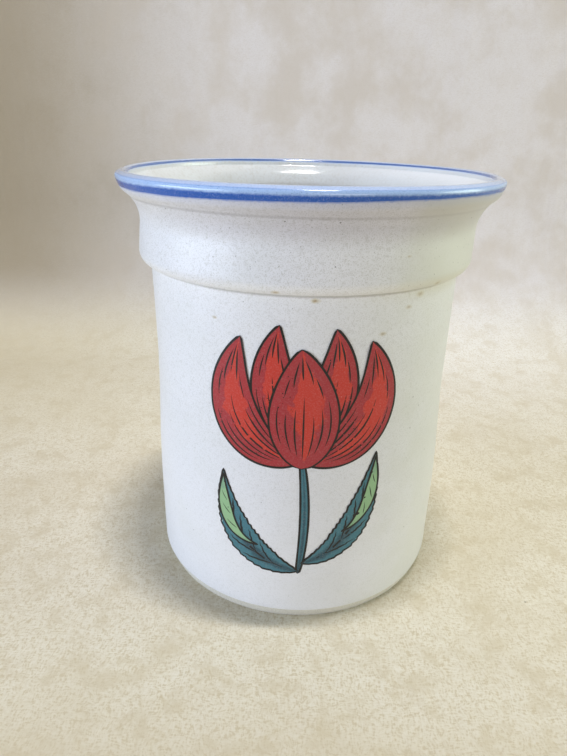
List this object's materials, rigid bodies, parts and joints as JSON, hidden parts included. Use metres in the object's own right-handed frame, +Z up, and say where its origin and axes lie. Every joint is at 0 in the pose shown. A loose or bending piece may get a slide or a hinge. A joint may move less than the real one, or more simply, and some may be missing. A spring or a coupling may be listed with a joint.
{
  "type": "utensil crock",
  "caption": "Straight-sided stoneware crock with a stepped collar, flared lip and printed spray, for standing kitchen utensils in.",
  "frame": {"origin": "centre of the foot ring, on the plane that the crock stands on", "axes": "+Z up along the crock's axis, -Y towards the printed side"},
  "size_m": [0.165, 0.165, 0.1896],
  "materials": {
    "bare_stoneware": "matte",
    "speckled_white_glaze": "satin",
    "cream_liner_glaze": "gloss",
    "cobalt_glaze": "gloss",
    "red_enamel": "satin",
    "teal_enamel": "satin",
    "light_green_enamel": "satin",
    "black_enamel": "satin"
  },
  "bodies": {
    "root": {"stoneware_body": "bare_stoneware", "outer_glaze": "speckled_white_glaze", "liner_glaze": "cream_liner_glaze", "rim_glaze_band": "cobalt_glaze", "print_petals": "red_enamel", "print_leaves": "teal_enamel", "print_turned_edges": "light_green_enamel", "print_key_lines": "black_enamel"}
  },
  "joints": []
}
